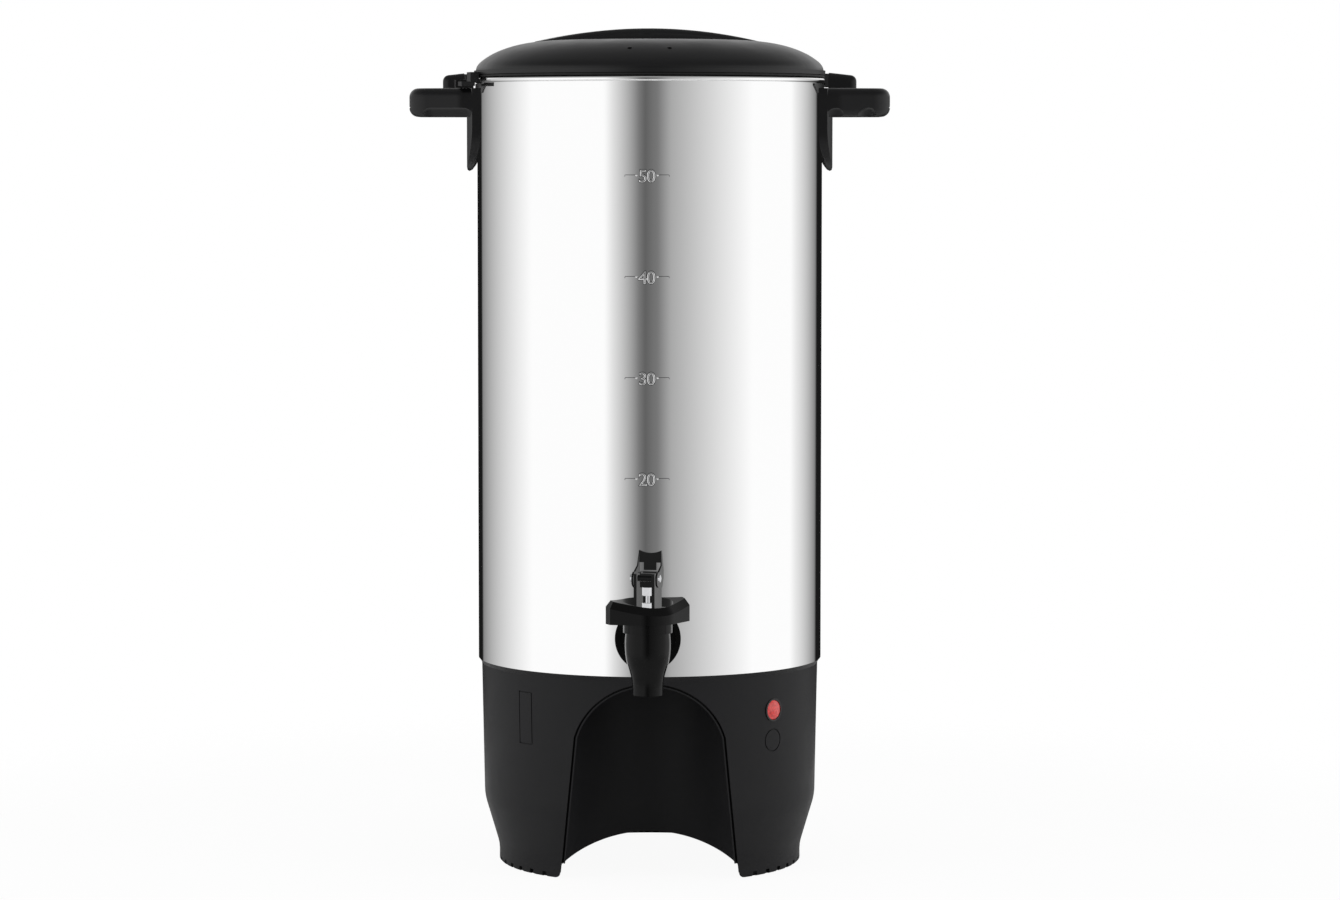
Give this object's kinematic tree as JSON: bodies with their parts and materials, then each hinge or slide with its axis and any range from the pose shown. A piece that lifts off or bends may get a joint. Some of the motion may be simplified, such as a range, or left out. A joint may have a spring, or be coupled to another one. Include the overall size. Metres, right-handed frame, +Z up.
{
  "type": "coffee urn",
  "caption": "Tall percolating drink urn: polished steel drum on a black skirted base with a cup bay, bayonet lid, side handles, lever tap and pilot lamp.",
  "frame": {"origin": "centre of the base's ring-shaped standing edge, on the drum's upright axis", "axes": "+Z up along the drum, -Y towards the tap (front), +X to the right seen from the front"},
  "size_m": [0.262, 0.234, 0.458],
  "materials": {
    "polished_steel": "bright polished stainless steel with faint upright brushing",
    "inner_steel": "satin stainless steel",
    "base_plastic": "fine-grained black moulded polypropylene",
    "handle_plastic": "black moulded phenolic, satin",
    "lid_plastic": "black moulded polypropylene, satin",
    "tap_plastic": "black moulded nylon, low gloss",
    "silicone": "soft silicone",
    "foot_rubber": "black rubber",
    "bracket_steel": "black enamelled steel",
    "zinc_steel": "zinc-plated steel",
    "bright_chrome": "plated steel",
    "brass_fittings": "turned brass",
    "heater_sheath": "sheathed aluminium element",
    "heater_pad": "aluminium-clad pad",
    "control_bakelite": "heat-resistant plastic",
    "lamp_red": "clear red polycarbonate",
    "lamp_black": "black nylon",
    "lamp_glass": "neon lamp glass",
    "lead_insulation": "white silicone sleeving"
  },
  "bodies": {
    "root": {"vessel_drum": "polished_steel", "vessel_floor": "inner_steel", "heating_well": "inner_steel", "percolator_tube": "inner_steel", "percolator_foot": "inner_steel", "pump_disc": "inner_steel", "coffee_basket": "inner_steel", "basket_cover": "inner_steel", "base_skirt": "base_plastic", "bay_liner": "base_plastic", "bottom_cover": "base_plastic", "left_handle": "handle_plastic", "right_handle": "handle_plastic", "tap_body": "tap_plastic", "tap_escutcheon": "tap_plastic", "tap_bonnet": "tap_plastic", "tap_lock_nut": "tap_plastic", "tap_outer_washer": "silicone", "tap_inner_washer": "silicone", "handle_seals": "silicone", "rubber_feet": "foot_rubber", "handle_brackets": "bracket_steel", "heater_bracket": "zinc_steel", "floor_studs": "zinc_steel", "stud_nuts": "zinc_steel", "base_screws": "zinc_steel", "handle_screws": "zinc_steel", "lever_pin": "bright_chrome", "stem_gland": "bright_chrome", "stem_spring": "bright_chrome", "handle_inserts": "brass_fittings", "terminal_screws": "brass_fittings", "main_heater": "heater_sheath", "keep_warm_heater": "heater_pad", "thermostat": "control_bakelite", "terminal_block": "control_bakelite", "thermal_fuse": "control_bakelite", "lamp_lens": "lamp_red", "lamp_bezel": "lamp_black", "cord_bush": "lamp_black", "lamp_bulb": "lamp_glass", "heater_leads": "lead_insulation", "lamp_leads": "lead_insulation"},
    "lid_seal": {"lid_seal": "silicone"},
    "lid": {"lid_shell": "lid_plastic", "lid_grip": "lid_plastic", "lid_grip_screws": "zinc_steel"},
    "lever": {"tap_lever": "tap_plastic"},
    "stem": {"valve_stem": "bright_chrome", "stem_nut": "bright_chrome", "stem_yoke": "tap_plastic", "yoke_pin": "bright_chrome", "seat_cup": "silicone"},
    "collar": {"wing_collar": "tap_plastic"}
  },
  "joints": [
    {"name": "lid_lift", "type": "slide", "parent": "root", "child": "lid_seal", "axis": [0, 0, 1], "range_m": [0, 0.15]},
    {"name": "lid_turn", "type": "hinge", "parent": "lid_seal", "child": "lid", "pos_m": [0, 0, 0.4326], "axis": [0, 0, 1], "range_deg": [-18, 150]},
    {"name": "lever_pull", "type": "hinge", "parent": "root", "child": "lever", "pos_m": [-0.00216, -0.12635, 0.1688], "axis": [0.9659, -0.2588, 0], "range_deg": [0, 35]},
    {"name": "stem_lift", "type": "slide", "parent": "root", "child": "stem", "axis": [0, 0, 1], "range_m": [0, 0.00303], "stiffness_N_per_m": 300, "springref_m": -0.006, "deforming": ["stem_spring"]},
    {"name": "collar_turn", "type": "hinge", "parent": "root", "child": "collar", "pos_m": [-0.001, -0.122, 0.1505], "axis": [0, 0, 1], "range_deg": [0, 90]}
  ],
  "couplings": [
    {"joint": "lever_pull", "follows": "stem_lift", "rad_per_m": 200.97}
  ]
}
